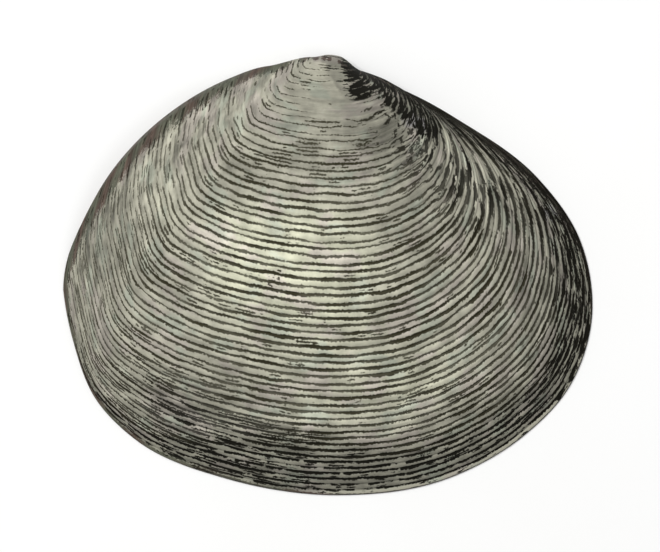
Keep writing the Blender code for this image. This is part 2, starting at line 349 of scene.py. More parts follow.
def roofOver():
    stride = detail["roofStride"]
    coarse = smoothSkin[::stride, ::stride]
    points = [Vector(p) for p in coarse.reshape(-1, 3)]
    rows, columns = coarse.shape[:2]
    faces = []
    for i in range(rows - 1):
        for j in range(columns - 1):
            a = i * columns + j
            faces.append((a, a + 1, a + columns + 1, a + columns))
    tree = BVHTree.FromPolygons(points, faces)

    def roof(across, below):
        hit, normal, _, _ = tree.ray_cast(Vector((across, below, -1.0)), Vector((0, 0, 1)))
        if hit is None:
            return 0.0, 1.0
        return hit.z, max(abs(normal.z), inside["steepestWall"])

    return roof


roof = roofOver()


def strokeDistance(place, start, end):
    place, start, end = (np.array(p, float) for p in (place, start, end))
    run = end - start
    t = np.clip((place - start) @ run / (run @ run), 0.0, 1.0)
    return float(np.linalg.norm(place - start - t * run))


def scarShare(place, scar):
    (cx, cy), (halfX, halfY), lean = scar
    x, y = place[0] - cx, place[1] - cy
    u = x * math.cos(lean) + y * math.sin(lean)
    v = -x * math.sin(lean) + y * math.cos(lean)
    return 1 - float(smoothStep(*inside["scarFade"], math.hypot(u / halfX, v / halfY)))


# 1 inside the mantle line, 0 outside it, with the deep sinus cut in from the rear
def palliumShare(place, fromRim):
    i = inside

    def pastLine(line, blur, distance):
        return float(smoothStep(line - blur, line + blur, distance))

    body = pastLine(i["palliumInset"], i["palliumBlur"], fromRim)
    reach = strokeDistance(place, i["sinusMouth"], i["sinusTip"])
    return body * pastLine(i["sinusHalfWidth"], i["sinusBlur"], reach)


def plateWidth(across):
    i = inside
    reach = i["plateRear"] if across < 0 else i["plateFront"]
    share = min(abs(across / reach), 1.0)
    return i["plateEndWidth"] + (i["plateWidth"] - i["plateEndWidth"]) * math.cos(share * math.pi / 2)


def insideHeight(across, below, fromRim):
    i = inside
    top, level = roof(across, below)
    grown = float(smoothStep(0, i["wallGrowsOver"], fromRim))
    wall = i["edgeWall"] + (i["wall"] - i["edgeWall"]) * grown
    dome = max(top - wall / level, 0.0)
    depth = float(belowUpperEdge(across, below))
    underRoof = top - i["roofOverPlate"]
    plate = min(i["plateLift"] + i["plateSlope"] * max(depth, 0.0), max(underRoof, 0.0))
    for start, end, halfWidth, drop in i["hingeRelief"]:
        stroke = strokeDistance((across, below), start, end)
        plate -= drop * math.exp(-((stroke / halfWidth) ** 2) * i["toothSharpness"])
    plate = min(max(plate, i["toothClearance"]), max(underRoof, i["toothClearance"]))
    pastPlate = float(smoothStep(0.0, i["plateStep"], depth - plateWidth(across)))
    within = i["plateRear"] - i["plateOverlap"] < across < i["plateFront"] + i["plateOverlap"]
    height = plate + (dome - plate) * pastPlate if within and dome > plate else dome
    scar = max(scarShare((across, below), i["frontScar"]), scarShare((across, below), i["rearScar"]))
    height += i["scarDepth"] * scar
    return max(height, i["toothClearance"]) * float(smoothStep(0.0, i["rimFade"], fromRim)), scar


def innerLoop(base):
    d = detail
    closed = np.concatenate([base, base[:1]])
    along = np.concatenate([[0], np.cumsum(np.linalg.norm(np.diff(closed, axis=0), axis=1))])
    fine = np.linspace(0, along[-1], d["loopSteps"], endpoint=False)
    line = np.stack([np.interp(fine, along, closed[:, k]) for k in range(2)], axis=1)
    byHinge = np.exp(-((np.linalg.norm(line, axis=1) / d["hingeCrowdingReach"]) ** 2))
    weight = 1 + d["hingeCrowding"] * byHinge
    reached = np.concatenate([[0], np.cumsum(weight)])[:-1] / weight.sum()
    shares = np.arange(d["innerPoints"]) / d["innerPoints"]
    picks = np.interp(shares, reached, np.arange(d["loopSteps"]))
    reach = d["loopReach"]
    tangent = np.roll(line, -reach, axis=0) - np.roll(line, reach, axis=0)
    tangent /= np.linalg.norm(tangent, axis=1, keepdims=True)
    inward = np.stack([tangent[:, 1], -tangent[:, 0]], axis=1)
    towards = np.array(inside["centre"]) - line
    inward *= np.sign((inward * towards).sum(axis=1))[:, None]
    return (line + inside["rim"] * inward)[picks.astype(int)]


# Where the shell is pale, stained and lined, and where highlight and shade are painted on it, read by the
# finish at each point.
# A soft patch is its place across and below, its half sizes, its lean in degrees and its change.
stainsLightAndShade = {
    "ground": 0.6,  # brightness between the lines, as the eye sees it
    # the patches paint highlight left of the middle and shade on the rear fold and towards the front end,
    # over the shell's own uneven tone
    "groundLightAndShadePatches": [
        (-3.6, 12.6, 5.6, 3.2, 0, 0.17),
        (0.5, 19.6, 7.5, 5.0, 0, 0.085),
        (-11.7, 10.0, 1.2, 3.6, -18, 0.08),
        (-8.4, 5.8, 1.5, 1.5, 0, 0.06),
        (-10.5, 22.9, 4.5, 2.2, 20, -0.08),
        (-13.6, 19.6, 2.4, 1.8, 40, 0.06),
        (-16.0, 12.0, 2.0, 6.0, 10, -0.05),
        (-10.0, 4.6, 2.6, 1.2, -40, -0.03),
        (-4.0, 26.0, 6.0, 1.4, 0, -0.05),
        (-2.0, 23.4, 3.0, 1.2, 0, 0.05),
        (-7.6, 7.6, 2.5, 1.1, -20, -0.07),
        (-10.8, 13.6, 1.4, 2.4, 0, -0.13),
        (-15.4, 12.0, 1.4, 2.0, 0, -0.05),
        (-2.0, 2.6, 3.6, 1.6, 0, -0.03),
        (0.0, 6.6, 4.0, 1.8, 0, -0.06),
        (3.4, 4.2, 1.7, 1.9, 0, -0.14),
        (6.6, 5.4, 3.2, 1.8, 30, 0.03),
        (9.6, 10.2, 4.2, 3.4, 30, -0.05),
        (4.6, 10.6, 2.2, 1.6, 0, -0.05),
        (3.6, 15.6, 2.4, 2.0, 0, -0.05),
        (14.6, 15.2, 2.4, 5.0, 0, -0.06),
        (5.4, 22.0, 2.6, 2.0, -20, 0.05),
        (8.6, 24.6, 3.2, 1.4, -32, -0.09),
        (-14.8, 23.2, 2.4, 1.2, 45, 0.06),
    ],
    "ink": 0.33,  # share of the surface that the lines cover
    # the flank in front of the beak, darkened as painted shade
    "shadedFlankPatches": [
        (0.0, -0.2, 0.55, 0.4, 0, 1.3),
        (0.4, 0.7, 0.6, 0.9, -30, 1.3),
        (1.2, 1.5, 0.7, 0.7, 40, 1.1),
        (4.4, 3.0, 1.9, 0.6, 32, 1.0),
        (5.9, 4.4, 0.7, 0.6, 32, 0.6),
    ],
    "lilacPatches": [
        (5.0, 3.9, 1.2, 0.7, 30, 0.2),
        (14.2, 10.4, 0.9, 1.6, 20, 0.18),
        (11.8, 16.6, 1.2, 2.2, 0, 0.1),
        (-5.4, 25.0, 3.0, 0.8, 15, 0.12),
    ],
    "pinkPatches": [
        (-5.6, 1.3, 3.0, 0.9, -20, 0.1),
        (11.6, 17.0, 2.4, 3.6, 0, 0.06),
        (-11.0, 22.6, 2.6, 1.6, 30, 0.08),
    ],
    "thinningPatches": [  # where some lines are left out
        (9.6, 7.8, 4.0, 2.0, 42, 0.9),
        (-16.5, 12.0, 2.0, 6.0, 0, -0.35),
    ],
    "usualSpacing": 0.42,  # mm between lines
    "inkPatches": [
        (-1.2, 2.4, 3.6, 1.9, -10, -0.25),
        (0.8, 2.6, 1.9, 1.5, 0, -0.12),
        (0.5, 6.0, 4.5, 1.4, 0, -0.09),
        (-15.8, 11.0, 2.4, 6.0, 20, -0.14),
        (-13.4, 20.0, 3.2, 2.4, 40, -0.07),
        (-15.2, 23.0, 2.6, 1.2, 45, -0.06),
        (0.0, 20.0, 9.0, 5.0, 0, 0.08),
        (10.0, 14.0, 4.0, 4.0, 0, 0.05),
    ],
    "hatchPatches": [  # where short strokes lie between the lines
        (-1.0, 6.2, 6.0, 1.5, 0, 0.8),
        (-9.5, 23.6, 5.0, 2.2, 20, 1.1),
        (-15.5, 12.0, 2.6, 6.0, 10, 0.8),
        (-9.6, 14.6, 1.6, 1.2, 20, 0.7),
        (6.5, 9.0, 3.2, 1.6, 30, 0.5),
        (4.4, 12.4, 1.6, 0.9, 0, 0.6),
    ],
    "tanglePatches": [  # where the lines curl and run together
        (4.2, 4.6, 2.4, 1.6, 35, 1.0),
        (8.6, 7.6, 3.0, 2.0, 35, 0.4),
    ],
    "boldPatches": [  # where they swell and break off, bold and short
        (4.4, 4.2, 2.6, 1.6, 35, 0.9),
        (9.6, 8.4, 3.4, 2.0, 40, 1.0),
        (15.6, 14.0, 1.9, 6.0, 0, 1.0),
        (-10.6, 23.4, 4.0, 1.8, 22, 0.6),
        (-5.0, 25.2, 6.0, 1.3, 10, 0.6),
        (8.0, 24.0, 6.0, 1.4, -25, 0.4),
    ],
    "middle": (0.0, 14.0),
    # by direction from the middle, 0 at the front end and 90 at the lowest point:
    # the direction, the border's width, its share of blotches and the dark edging's width,
    # where the border and the edging are painted shade
    "aroundEdge": [
        (-180, 0.4, 0.1, 0.5),
        (-157, 0.4, 0.1, 1.0),
        (-142, 0.4, 0.1, 1.1),
        (-120, 0.4, 0.1, 0.8),
        (-101, 0.4, 0.1, 0.4),
        (-91, 0.4, 0.2, 0.14),
        (-86, 0.9, 0.8, 0.26),
        (-76, 1.4, 0.8, 0.38),
        (-60, 1.4, 0.75, 0.55),
        (-42, 1.3, 0.7, 0.65),
        (-28, 1.5, 0.7, 0.65),
        (-12, 2.1, 0.75, 0.45),
        (5, 2.7, 0.75, 0.22),
        (25, 2.9, 0.65, 0.12),
        (50, 3.0, 0.5, 0.1),
        (75, 3.6, 0.45, 0.12),
        (100, 4.3, 0.5, 0.2),
        (122, 3.8, 0.45, 0.3),
        (140, 1.1, 0.3, 0.28),
        (160, 0.5, 0.15, 0.28),
        (180, 0.4, 0.1, 0.35),
    ],
    "mostBorders": 4.0,  # distances from the edge count up to this many widths
    "mostFromEdge": 3.0,
    "rearFade": (-4, 8),  # columns from the free edge's start and from the fold's corner
    "rearFromSize": (0.1, 0.3),
    "youngUpTo": (0.12, 0.42),
    "lowFrontFrom": (0, 30),  # directions
    "lowFrontUpTo": (85, 110),
    "frontHalfOver": (-0.6, 0.6),
    "rayCentre": (-0.4, -1.5),
    "rayLeastBelow": 0.01,
    "mostThinning": 3.0,
    "leastSpacing": 0.02,
}


def softPatches(start, patches, across, below):
    value = np.full(across.shape, start)
    for cx, cy, halfX, halfY, lean, change in patches:
        turn = math.radians(lean)
        u = (across - cx) * math.cos(turn) + (below - cy) * math.sin(turn)
        v = (below - cy) * math.cos(turn) - (across - cx) * math.sin(turn)
        value += change * np.exp(-0.5 * ((u / halfX) ** 2 + (v / halfY) ** 2))
    return value


def edgeDistance(across, below):
    freeEdge = smoothSkin[-1, upperStart:, :2]
    upperFeet = smoothSkin[::4, 0, :2]  # every fourth row is close enough
    edge = np.concatenate([freeEdge, upperFeet])
    places = np.stack([across.ravel(), below.ravel()], axis=1)
    nearest = []
    batch = 4000  # keeps the memory small
    for start in range(0, len(places), batch):
        apart = places[start : start + batch, None] - edge[None]
        nearest.append(np.sqrt((apart**2).sum(axis=2)).min(axis=1))
    return np.concatenate(nearest).reshape(across.shape)


# 0 where the lines are well apart, and one more for each halving of the space between them
def crowding(across, below):
    f = stainsLightAndShade
    tangent = np.gradient(smoothSkin, axis=1)
    tangent /= np.maximum(np.linalg.norm(tangent, axis=2, keepdims=True), detail["least"])
    step = np.gradient(smoothSkin, axis=0) / np.gradient(rowTable[:, 1])[:, None, None]
    sideways = step - (step * tangent).sum(axis=2, keepdims=True) * tangent
    spacing = np.maximum(np.linalg.norm(sideways, axis=2), f["leastSpacing"])
    halvings = np.log2(f["usualSpacing"] / spacing)
    thinning = softPatches(0.0, f["thinningPatches"], across, below)
    return np.clip(thinning + halvings, 0.0, f["mostThinning"])


def outsideMarks():
    f = stainsLightAndShade
    across, below = smoothSkin[..., 0], smoothSkin[..., 1]
    size = np.repeat(rowTable[:, 0][:, None], columnCount, axis=1)
    columns = np.repeat(np.arange(columnCount)[None, :], rowCount, axis=0)
    middleAcross, middleBelow = f["middle"]
    direction = np.degrees(np.arctan2(below - middleBelow, across - middleAcross))
    turns, *aroundEdge = np.array(f["aroundEdge"]).T
    borderWidth, blotching, edgingWidth = (np.interp(direction, turns, row) for row in aroundEdge)
    fromEdge = edgeDistance(across, below)
    fromStart, fromCorner = f["rearFade"]
    onFold = 1 - smoothStep(edgeStart + fromStart, cornerColumn + fromCorner, columns)
    pastFront = smoothStep(*f["lowFrontFrom"], direction)
    rayAcross, rayBelow = f["rayCentre"]
    marks = {
        "ground": softPatches(f["ground"], f["groundLightAndShadePatches"], across, below),
        "ink": np.clip(softPatches(f["ink"], f["inkPatches"], across, below), 0.0, 1.0),
        "shadeBorderReach": np.minimum(fromEdge / borderWidth, f["mostBorders"]),
        "blotching": blotching,
        "shadeEdging": np.minimum(fromEdge / edgingWidth, f["mostBorders"]),
        "fromEdge": np.minimum(fromEdge, f["mostFromEdge"]),
        "rear": onFold * smoothStep(*f["rearFromSize"], size),
        "young": 1 - smoothStep(*f["youngUpTo"], size),
        "frontHalf": smoothStep(*f["frontHalfOver"], across),
        "lowFront": pastFront * (1 - smoothStep(*f["lowFrontUpTo"], direction)),
        "ray": np.arctan2(across - rayAcross, np.maximum(below, f["rayLeastBelow"]) - rayBelow),
        "crowding": crowding(across, below),
        "ridgeCount": ridgeCount,
    }
    for name in ("shadedFlank", "hatch", "tangle", "bold", "pink", "lilac"):
        marks[name] = softPatches(0.0, f[name + "Patches"], across, below)
    return marks


marks = outsideMarks()
print("stains placed")


def outerSkin(bm, layers):
    def outerVert(i, j):
        vert = bm.verts.new(skin[i, j])
        vert[layers["growthPlace"]] = Vector((along[i, j], growthMm[i, j], 0.0))
        for name, values in marks.items():
            vert[layers[name]] = float(values[i, j])
        return vert

    hingePoint = outerVert(rowCount - 1, columnCount - 1)
    hingePoint.co = (0.0, float(hingeArch(0.0)), 0.0)
    grid = []
    for i in range(rowCount):
        grid.append([outerVert(i, j) for j in range(columnCount - 1)] + [hingePoint])
    for i in range(rowCount - 1):
        for j in range(columnCount - 1):
            corners = [grid[i][j], grid[i][j + 1], grid[i + 1][j + 1], grid[i + 1][j]]
            bm.faces.new([v for k, v in enumerate(corners) if v is not corners[k - 1]])
    tip = bm.verts.new(skin[0].mean(axis=0))
    for a, b in zip(grid[0], [*grid[0][1:], grid[0][0]]):
        bm.faces.new([tip, b, a])
    return [*grid[-1], *[row[0] for row in grid[:-1]]]


# the flat edge that the valve lies on, between the outer skin's base and the inner loop
def flatEdge(bm, base, loop):
    rim = [bm.verts.new((x, y, 0.0)) for x, y in loop]
    bm.edges.ensure_lookup_table()
    outerEdges = [bm.edges.get(pair) or bm.edges.new(pair) for pair in zip(base, [*base[1:], base[0]])]
    innerEdges = [bm.edges.new(pair) for pair in zip(rim, [*rim[1:], rim[0]])]
    bmesh.ops.triangle_fill(bm, use_beauty=True, edges=outerEdges + innerEdges)
    for edge in outerEdges:
        edge.smooth = False
    return rim


def innerSkin(bm, layers, loop, rim):
    centre = np.array(inside["centre"])
    ring = rim
    for share in np.linspace(0, 1, detail["innerRings"] + 1)[1:-1] ** detail["ringSpread"]:
        places = loop + (centre - loop) * share
        fromRim = np.linalg.norm(centre - loop, axis=1) * share
        following = []
        for (x, y), gap in zip(places, fromRim):
            z, scar = insideHeight(x, y, gap)
            vert = bm.verts.new((x, y, z))
            vert[layers["scar"]] = scar
            vert[layers["pallium"]] = palliumShare((x, y), gap)
            vert[layers["fromRim"]] = gap
            following.append(vert)
        for k in range(len(ring)):
            bm.faces.new([ring[k - 1], ring[k], following[k], following[k - 1]])
        ring = following
    middleHeight, _ = insideHeight(*centre, inside["centreFromRim"])
    middle = bm.verts.new((*centre, middleHeight))
    middle[layers["pallium"]] = 1.0
    middle[layers["fromRim"]] = inside["centreFromRim"]
    for k in range(len(ring)):
        bm.faces.new([ring[k - 1], ring[k], middle])


def buildValve():
    bm = bmesh.new()
    layers = {"growthPlace": bm.verts.layers.float_vector.new("growthPlace")}
    for name in (*marks, "scar", "pallium", "fromRim"):
        layers[name] = bm.verts.layers.float.new(name)
    base = outerSkin(bm, layers)
    outerFaces = len(bm.faces)
    loop = innerLoop(np.array([v.co[:2] for v in base]))
    rim = flatEdge(bm, base, loop)
    innerSkin(bm, layers, loop, rim)
    bm.faces.ensure_lookup_table()
    for index, face in enumerate(bm.faces):
        face.material_index = 0 if index < outerFaces else 1
        face.smooth = True
    return bm


def placeInFrame(bm):
    # the solid is centred on its outline with the crests of its own ridges
    low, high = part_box("right_valve")
    for v in bm.verts:
        v.co.y = -v.co.y
    own = np.array([v.co[:2] for v in bm.verts])
    ownMiddle = (own.min(axis=0) + own.max(axis=0)) / 2
    target = (np.array(low[:2]) + np.array(high[:2])) / 2 / mm
    shift = Vector((*(target - ownMiddle), 0.0))
    for v in bm.verts:
        v.co = (v.co + shift) * mm
    bmesh.ops.recalc_face_normals(bm, faces=bm.faces[:])
    if bm.calc_volume(signed=True) < 0:
        bmesh.ops.reverse_faces(bm, faces=bm.faces[:])


bm = buildValve()
placeInFrame(bm)
mesh = bpy.data.meshes.new("valveShell")
bm.to_mesh(mesh)
bm.free()
valveShell = bpy.data.objects.new("valveShell", mesh)
bpy.context.scene.collection.objects.link(valveShell)
mesh.calc_loop_triangles()
print("valve skin:", len(mesh.loop_triangles), "triangles")


def newMaterial(name):
    material = bpy.data.materials.new(name)
    material.use_nodes = True
    tree = material.node_tree
    return material, tree, tree.nodes["Principled BSDF"]


# In the helpers below a value is a socket or a plain setting, and the sockets tell which tree it is.
def newNode(kind, *values):
    tree = next(value.id_data for value in values if isinstance(value, bpy.types.NodeSocket))
    return tree.nodes.new(kind)


def feed(socket, value):
    if isinstance(value, bpy.types.NodeSocket):
        socket.id_data.links.new(value, socket)
    else:
        socket.default_value = value


def attribute(tree, name, output="Fac"):
    node = tree.nodes.new("ShaderNodeAttribute")
    node.attribute_name = name
    return node.outputs[output]


def maths(operation, a, b=None):
    node = newNode("ShaderNodeMath", a, b)
    node.operation = operation
    feed(node.inputs[0], a)
    if b is not None:
        feed(node.inputs[1], b)
    return node.outputs[0]


def times(a, b):
    return maths("MULTIPLY", a, b)


def plus(a, b):
    return maths("ADD", a, b)


def minus(a, b):
    return maths("SUBTRACT", a, b)


def most(a, b):
    return maths("MAXIMUM", a, b)


# noise about zero, times an amount
def swing(source, amount):
    return times(minus(source, 0.5), amount)


def combined(x, y):
    node = newNode("ShaderNodeCombineXYZ", x, y)
    feed(node.inputs[0], x)
    feed(node.inputs[1], y)
    return node.outputs[0]


def stretched(vector, scale, offset):
    node = newNode("ShaderNodeMapping", vector)
    feed(node.inputs["Vector"], vector)
    feed(node.inputs["Scale"], scale)
    feed(node.inputs["Location"], offset)
    return node.outputs[0]


def cloudy(vector, scale, detailLevel=3.0, roughness=0.55):
    node = newNode("ShaderNodeTexNoise", vector)
    feed(node.inputs["Vector"], vector)
    feed(node.inputs["Scale"], scale)
    feed(node.inputs["Detail"], detailLevel)
    feed(node.inputs["Roughness"], roughness)
    return node.outputs["Fac"]


def ramp(value, low, high, toLow=0.0, toHigh=1.0):
    node = newNode("ShaderNodeMapRange", value)
    node.interpolation_type = "SMOOTHSTEP"
    feed(node.inputs["Value"], value)
    feed(node.inputs["From Min"], low)
    feed(node.inputs["From Max"], high)
    feed(node.inputs["To Min"], toLow)
    feed(node.inputs["To Max"], toHigh)
    return node.outputs["Result"]


def mixColour(factor, a, b, kind="MIX"):
    node = newNode("ShaderNodeMix", factor, a, b)
    node.data_type = "RGBA"
    node.blend_type = kind
    node.clamp_factor = True
    feed(node.inputs[0], factor)
    feed(node.inputs[6], a)
    feed(node.inputs[7], b)
    return node.outputs[2]


def addBump(surface, height, strength, depth):
    bump = newNode("ShaderNodeBump", height)
    feed(bump.inputs["Strength"], strength)
    feed(bump.inputs["Distance"], depth)
    feed(bump.inputs["Height"], height)
    feed(surface.inputs["Normal"], bump.outputs["Normal"])


# the black of the stained grooves, also used for the painted shade on the border, the flank and the
# edging
stainAndShadeBlack = (0.005, 0.0045, 0.002, 1)

# Noise of the outside: repeats per mm along the lines and across them, offset, detail, roughness.
outsideNoise = {
    "patches": ((0.14, 0.2), (0, 0, 0), 4.0, 0.55),
    "blotches": ((0.5, 1.5), (4, 4, 4), 4.0, 0.62),
    "ragged": ((6.5, 9.0), (8, 2, 6), 2.0, 0.6),
    "streaks": ((0.2, 2.1), (3, 5, 9), 3.0, 0.6),
    "mottle": ((0.5, 0.8), (15, 3, 2), 4.0, 0.6),
    "pinkCloud": ((0.3, 0.45), (31, 7, 2), 3.0, 0.55),
    "greenCloud": ((0.4, 0.55), (11, 17, 6), 3.0, 0.55),
    "warp": ((0.55, 1.1), (21, 9, 3), 3.0, 0.55),
    "flecks": ((0.9, 2.6), (2, 8, 5), 3.0, 0.6),
    "blots": ((0.85, 3.2), (6, 1, 7), 4.0, 0.66),
    "grain": ((4, 9), (2, 5, 3), 4.0, 0.65),
}

# Noise that runs along each line for itself: repeats per mm, seed, detail.
lineNoise = {
    "waver": (0.6, 1.7, 2.0),
    "swell": (0.33, 5.3, 2.0),
    "swellShort": (1.3, 2.9, 3.0),
    "breaks": (0.75, 9.1, 3.0),
    "stray": (0.6, 3.9, 3.0),
    "strokes": (0.5, 7.7, 3.0),
}
lineApart = 7.31  # how far apart the noise of two lines lies
seedLean = 0.37  # how far a seed moves the noise across the lines, as a share


def shellSources(tree):
    place = attribute(tree, "growthPlace", "Vector")
    parts = newNode("ShaderNodeSeparateXYZ", place)
    feed(parts.inputs[0], place)
    sources = {name: attribute(tree, name) for name in marks}
    sources["alongMm"], sources["growthMm"] = parts.outputs[:2]
    for name, (scale, offset, detailLevel, roughness) in outsideNoise.items():
        sources[name] = cloudy(stretched(place, (*scale, 1), offset), 1.0, detailLevel, roughness)
    return sources


def perLine(s, index):
    return combined(s["alongMm"], times(index, lineApart))


def noiseAlong(linePlace, name):
    scale, seed, detailLevel = lineNoise[name]
    return cloudy(stretched(linePlace, (scale, 1, 1), (seed, seed * seedLean, seed)), 1.0, detailLevel)


# Here and below, a pair named Over, From or UpTo is where a change starts and where it ends.
groundFinish = {
    # the cream tint goes where the ground is brightest, so it is partly painted highlight
    "creamHighlight": (1.07, 1.07, 0.81, 1),  # the tints carry the hue, and the brightness scales them
    "warmGrey": (1.07, 1.04, 0.83, 1),
    "pinkGrey": (1.1, 1.01, 0.87, 1),
    "greenGrey": (1.02, 1.07, 0.86, 1),
    "lilacGrey": (1.04, 1.0, 0.99, 1),
    "creamHighlightOver": (0.62, 0.76),
    "pinkOver": (0.52, 0.62),
    "greenOver": (0.54, 0.64),
    "lilacOver": (0.07, 0.1),
    "tinting": 0.85,
    "lilacTinting": 0.9,
    "borderRagged": 1.1,
    "borderOver": (0.55, 1.2),
    "flankRagged": 0.8,
    "flankOver": (0.3, 0.7),
    "patches": 0.22,
    "rays": 0.2,
    "raysAround": 17.0,
    "raysAlong": 0.11,
    "mottle": 0.42,
    "rearMottle": 0.2,
    "rearBlotches": 0.1,
    "rearBlotchesOver": (0.5, 0.6),
    "streaks": 0.22,
    "boldStreaks": 0.5,
    # the ground's darker tone on the border and the flank is painted shade
    "borderTone": 0.49,
    "borderBlotches": 0.2,
    "borderMottle": 0.5,
    # a thin painted highlight just inside the lower front edge
    "rimHighlightFrom": (0.1, 0.16),  # mm from the edge
    "rimHighlightUpTo": (0.3, 0.36),
    "rimHighlightTone": 0.66,
    "eyeToLight": 2.2,
}


# 1 on the dark border and on the flank in front of the beak, both painted shade
def paintedShadeParts(s):
    f = groundFinish
    border = plus(s["shadeBorderReach"], swing(s["blotches"], f["borderRagged"]))
    shadedFlank = plus(s["shadedFlank"], swing(s["blotches"], f["flankRagged"]))
    return most(ramp(border, *f["borderOver"], 1.0, 0.0), ramp(shadedFlank, *f["flankOver"]))


def groundTone(s, paintedShade):
    f = groundFinish
    rayPlace = combined(times(s["ray"], f["raysAround"]), times(s["growthMm"], f["raysAlong"]))
    rays = swing(cloudy(rayPlace, 1.0), minus(1.0, s["young"]))
    mottling = plus(f["mottle"], times(s["rear"], f["rearMottle"]))
    rearBlotches = times(ramp(s["blotches"], *f["rearBlotchesOver"]), s["rear"])
    streaking = plus(f["streaks"], times(s["bold"], f["boldStreaks"]))
    tone = plus(s["ground"], swing(s["patches"], f["patches"]))
    tone = plus(tone, times(rays, f["rays"]))
    tone = plus(tone, swing(s["mottle"], mottling))
    tone = minus(tone, times(rearBlotches, f["rearBlotches"]))
    tone = plus(tone, swing(s["streaks"], streaking))
    borderTone = plus(f["borderTone"], swing(s["blotches"], f["borderBlotches"]))
    borderTone = plus(borderTone, swing(s["mottle"], f["borderMottle"]))
    # painted shade: the ground turns to the darker border tone on the border and the flank
    tone = ramp(paintedShade, 0.0, 1.0, tone, borderTone)
    # painted highlight: a pale band just inside the lower front edge
    rimStart = ramp(s["fromEdge"], *f["rimHighlightFrom"])
    rimHighlight = times(rimStart, ramp(s["fromEdge"], *f["rimHighlightUpTo"], 1.0, 0.0))
    return ramp(times(rimHighlight, s["lowFront"]), 0.0, 1.0, tone, f["rimHighlightTone"])


def groundColour(s, paintedShade):
    f = groundFinish
    light = maths("POWER", groundTone(s, paintedShade), f["eyeToLight"])
    pink = ramp(plus(s["pinkCloud"], s["pink"]), *f["pinkOver"], 0.0, f["tinting"])
    green = ramp(s["greenCloud"], *f["greenOver"], 0.0, f["tinting"])
    lilac = ramp(times(s["lilac"], s["mottle"]), *f["lilacOver"], 0.0, f["lilacTinting"])
    # cream where the ground is brightest: partly painted highlight
    tint = mixColour(ramp(s["ground"], *f["creamHighlightOver"]), f["warmGrey"], f["creamHighlight"])
    tint = mixColour(pink, tint, f["pinkGrey"])
    tint = mixColour(green, tint, f["greenGrey"])
    tint = mixColour(lilac, tint, f["lilacGrey"])
    return mixColour(1.0, tint, light, "MULTIPLY")


lineFinish = {
    "line": (0.034, 0.031, 0.016, 1),
    "black": stainAndShadeBlack,
    "warp": 0.5,
    "tangle": 4.5,
    "thinningRagged": 0.5,
    "ragged": 1.1,
    "softness": (0.05, 0.07),  # inside and outside a line's own edge
    "thinnestOver": (0.03, 0.1),
    "waver": 0.6,
    "leastSwell": -0.25,
    "swell": 1.4,
    "swellShort": 1.1,
    "darkWidth": 0.14,
    "blotchingWidth": 0.16,
    "boldFrom": 0.45,
    "boldWidth": 1.7,
    "youngGaps": 0.2,
    "rearGaps": 0.25,
    "darkGaps": 0.14,
    "breaksOver": (0.2, 0.28),
    "stray": 0.7,
    "darkStrokes": 0.05,
    "hatchStrokes": 0.11,
    "strokesOver": (0.6, 0.68),
    "strokeWidth": 0.26,
    "darkStrength": 0.3,
    "strengthOver": (0.3, 0.7),
    "leastStrength": 0.82,
    "rearFading": 0.2,
}


# a line with ragged edges, given how far off its middle a point is and how wide it is
def drawnLine(s, off, width):
    f = lineFinish
    distance = times(maths("ABSOLUTE", off), 2.0)
    distance = plus(distance, swing(s["ragged"], f["ragged"]))
    within, beyond = f["softness"]
    line = ramp(distance, minus(width, within), plus(width, beyond), 1.0, 0.0)
    return times(line, ramp(width, *f["thinnestOver"]))


# the warped count of grooves, with one in every two, four or eight kept where they crowd
def keptCount(s):
    f = lineFinish
    warping = plus(f["warp"], times(s["tangle"], f["tangle"]))
    warped = plus(s["ridgeCount"], swing(s["warp"], warping))
    crowded = plus(s["crowding"], swing(s["blotches"], f["thinningRagged"]))
    every = maths("POWER", 2.0, maths("FLOOR", plus(crowded, 0.5)))
    return maths("DIVIDE", warped, every), every


# one dark line in each groove, each with its own swelling, breaks and wavering
def grooveLines(s, paintedShade, count, every):
    f = lineFinish
    index = maths("ROUND", count)
    linePlace = perLine(s, times(index, every))
    swell = noiseAlong(linePlace, "swell")
    breaks = noiseAlong(linePlace, "breaks")
    swelling = plus(times(swell, f["swell"]), times(noiseAlong(linePlace, "swellShort"), f["swellShort"]))
    width = times(s["ink"], plus(f["leastSwell"], swelling))
    width = times(width, maths("DIVIDE", maths("POWER", 2.0, s["crowding"]), every))
    # the lines widen on the painted shade of the border and the flank
    onDark = minus(f["darkWidth"], times(s["blotching"], f["blotchingWidth"]))
    width = plus(width, times(paintedShade, onDark))
    width = plus(width, times(s["bold"], times(minus(breaks, f["boldFrom"]), f["boldWidth"])))
    gaps = plus(times(s["young"], f["youngGaps"]), times(s["rear"], f["rearGaps"]))
    gaps = plus(gaps, times(most(s["bold"], paintedShade), f["darkGaps"]))
    width = times(width, ramp(minus(breaks, gaps), *f["breaksOver"]))
    waver = swing(noiseAlong(linePlace, "waver"), f["waver"])
    return drawnLine(s, plus(minus(count, index), waver), width), swell


# short strokes between the lines, more of them on the rear and on the painted shade of the flank and the
# border
def shortStrokes(s, paintedShade, count, every):
    f = lineFinish
    between = plus(maths("FLOOR", count), 0.5)
    linePlace = perLine(s, times(between, every))
    stray = swing(noiseAlong(linePlace, "stray"), f["stray"])
    hatching = plus(times(paintedShade, f["darkStrokes"]), times(s["hatch"], f["hatchStrokes"]))
    amount = plus(noiseAlong(linePlace, "strokes"), hatching)
    width = ramp(amount, *f["strokesOver"], 0.0, f["strokeWidth"])
    return drawnLine(s, plus(minus(count, between), stray), width)


